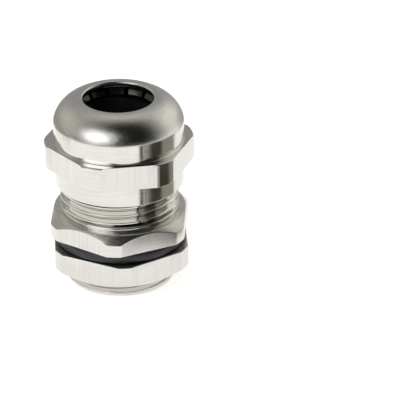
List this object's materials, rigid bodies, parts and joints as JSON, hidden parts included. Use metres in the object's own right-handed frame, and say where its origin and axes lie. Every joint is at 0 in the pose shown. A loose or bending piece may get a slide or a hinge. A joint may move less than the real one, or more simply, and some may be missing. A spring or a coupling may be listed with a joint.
{
  "type": "cable gland",
  "caption": "Nickel-plated brass cable gland: dome nut over a clamping claw and rubber bush, body with spanner hexagon, sealing gasket, threaded entry and locknut.",
  "frame": {"origin": "on the gland's axis, in the plane of the entry thread's end face, which is the bottom of the bounding box", "axes": "+Z runs along the axis from the entry thread to the cable mouth in the dome; the body's hexagon has flats facing +X and -X and corners on +Y and -Y"},
  "size_m": [0.026, 0.0258, 0.0342],
  "materials": {
    "nickel_plated_brass": "bright nickel plating over turned and milled brass, fine tool lines",
    "black_polyamide": "glossy moulded plastic",
    "black_nitrile_rubber": "satin moulded rubber"
  },
  "bodies": {
    "body": {"gland_body": "nickel_plated_brass"},
    "insert": {"clamping_ring": "black_polyamide", "sealing_bush": "black_nitrile_rubber"},
    "dome_nut": {"dome_nut": "nickel_plated_brass"},
    "finger_01": {"clamping_finger_01": "black_polyamide"},
    "finger_02": {"clamping_finger_02": "black_polyamide"},
    "finger_03": {"clamping_finger_03": "black_polyamide"},
    "finger_04": {"clamping_finger_04": "black_polyamide"},
    "finger_05": {"clamping_finger_05": "black_polyamide"},
    "finger_06": {"clamping_finger_06": "black_polyamide"},
    "finger_07": {"clamping_finger_07": "black_polyamide"},
    "finger_08": {"clamping_finger_08": "black_polyamide"},
    "finger_09": {"clamping_finger_09": "black_polyamide"},
    "finger_10": {"clamping_finger_10": "black_polyamide"},
    "finger_11": {"clamping_finger_11": "black_polyamide"},
    "finger_12": {"clamping_finger_12": "black_polyamide"},
    "gasket": {"entry_gasket": "black_nitrile_rubber"},
    "locknut": {"locknut": "nickel_plated_brass"}
  },
  "joints": [
    {"name": "dome_nut_travel", "type": "slide", "parent": "body", "child": "insert", "axis": [0, 0, 1], "range_m": [-0.003, 0.0015]},
    {"name": "dome_nut_turn", "type": "hinge", "parent": "insert", "child": "dome_nut", "pos_m": [0, 0, 0.025], "axis": [0, 0, 1], "range_deg": [-720.5, 360.5]},
    {"name": "finger_01_bend", "type": "hinge", "parent": "insert", "child": "finger_01", "pos_m": [0.00748, 0.00102, 0.0247], "axis": [-0.1357, 0.9907, 0], "range_deg": [-6.01, 3.01]},
    {"name": "finger_02_bend", "type": "hinge", "parent": "insert", "child": "finger_02", "pos_m": [0.00597, 0.00463, 0.0247], "axis": [-0.6129, 0.7902, 0], "range_deg": [-6.01, 3.01]},
    {"name": "finger_03_bend", "type": "hinge", "parent": "insert", "child": "finger_03", "pos_m": [0.00285, 0.00699, 0.0247], "axis": [-0.9259, 0.3778, 0], "range_deg": [-6.01, 3.01]},
    {"name": "finger_04_bend", "type": "hinge", "parent": "insert", "child": "finger_04", "pos_m": [-0.00102, 0.00748, 0.0247], "axis": [-0.9907, -0.1357, 0], "range_deg": [-6.01, 3.01]},
    {"name": "finger_05_bend", "type": "hinge", "parent": "insert", "child": "finger_05", "pos_m": [-0.00463, 0.00597, 0.0247], "axis": [-0.7902, -0.6129, 0], "range_deg": [-6.01, 3.01]},
    {"name": "finger_06_bend", "type": "hinge", "parent": "insert", "child": "finger_06", "pos_m": [-0.00699, 0.00285, 0.0247], "axis": [-0.3778, -0.9259, 0], "range_deg": [-6.01, 3.01]},
    {"name": "finger_07_bend", "type": "hinge", "parent": "insert", "child": "finger_07", "pos_m": [-0.00748, -0.00102, 0.0247], "axis": [0.1357, -0.9907, 0], "range_deg": [-6.01, 3.01]},
    {"name": "finger_08_bend", "type": "hinge", "parent": "insert", "child": "finger_08", "pos_m": [-0.00597, -0.00463, 0.0247], "axis": [0.6129, -0.7902, 0], "range_deg": [-6.01, 3.01]},
    {"name": "finger_09_bend", "type": "hinge", "parent": "insert", "child": "finger_09", "pos_m": [-0.00285, -0.00699, 0.0247], "axis": [0.9259, -0.3778, 0], "range_deg": [-6.01, 3.01]},
    {"name": "finger_10_bend", "type": "hinge", "parent": "insert", "child": "finger_10", "pos_m": [0.00102, -0.00748, 0.0247], "axis": [0.9907, 0.1357, 0], "range_deg": [-6.01, 3.01]},
    {"name": "finger_11_bend", "type": "hinge", "parent": "insert", "child": "finger_11", "pos_m": [0.00463, -0.00597, 0.0247], "axis": [0.7902, 0.6129, 0], "range_deg": [-6.01, 3.01]},
    {"name": "finger_12_bend", "type": "hinge", "parent": "insert", "child": "finger_12", "pos_m": [0.00699, -0.00285, 0.0247], "axis": [0.3778, 0.9259, 0], "range_deg": [-6.01, 3.01]},
    {"name": "locknut_travel", "type": "slide", "parent": "body", "child": "gasket", "axis": [0, 0, 1], "range_m": [-0.0025, 0]},
    {"name": "locknut_turn", "type": "hinge", "parent": "gasket", "child": "locknut", "pos_m": [0, 0, 0.0053], "axis": [0, 0, 1], "range_deg": [-600.5, 0.5]}
  ],
  "couplings": [
    {"joint": "dome_nut_turn", "follows": "dome_nut_travel", "rad_per_m": 4188.8},
    {"joint": "finger_01_bend", "follows": "dome_nut_travel", "rad_per_m": 34.907},
    {"joint": "finger_02_bend", "follows": "dome_nut_travel", "rad_per_m": 34.907},
    {"joint": "finger_03_bend", "follows": "dome_nut_travel", "rad_per_m": 34.907},
    {"joint": "finger_04_bend", "follows": "dome_nut_travel", "rad_per_m": 34.907},
    {"joint": "finger_05_bend", "follows": "dome_nut_travel", "rad_per_m": 34.907},
    {"joint": "finger_06_bend", "follows": "dome_nut_travel", "rad_per_m": 34.907},
    {"joint": "finger_07_bend", "follows": "dome_nut_travel", "rad_per_m": 34.907},
    {"joint": "finger_08_bend", "follows": "dome_nut_travel", "rad_per_m": 34.907},
    {"joint": "finger_09_bend", "follows": "dome_nut_travel", "rad_per_m": 34.907},
    {"joint": "finger_10_bend", "follows": "dome_nut_travel", "rad_per_m": 34.907},
    {"joint": "finger_11_bend", "follows": "dome_nut_travel", "rad_per_m": 34.907},
    {"joint": "finger_12_bend", "follows": "dome_nut_travel", "rad_per_m": 34.907},
    {"joint": "locknut_turn", "follows": "locknut_travel", "rad_per_m": 4188.8}
  ]
}
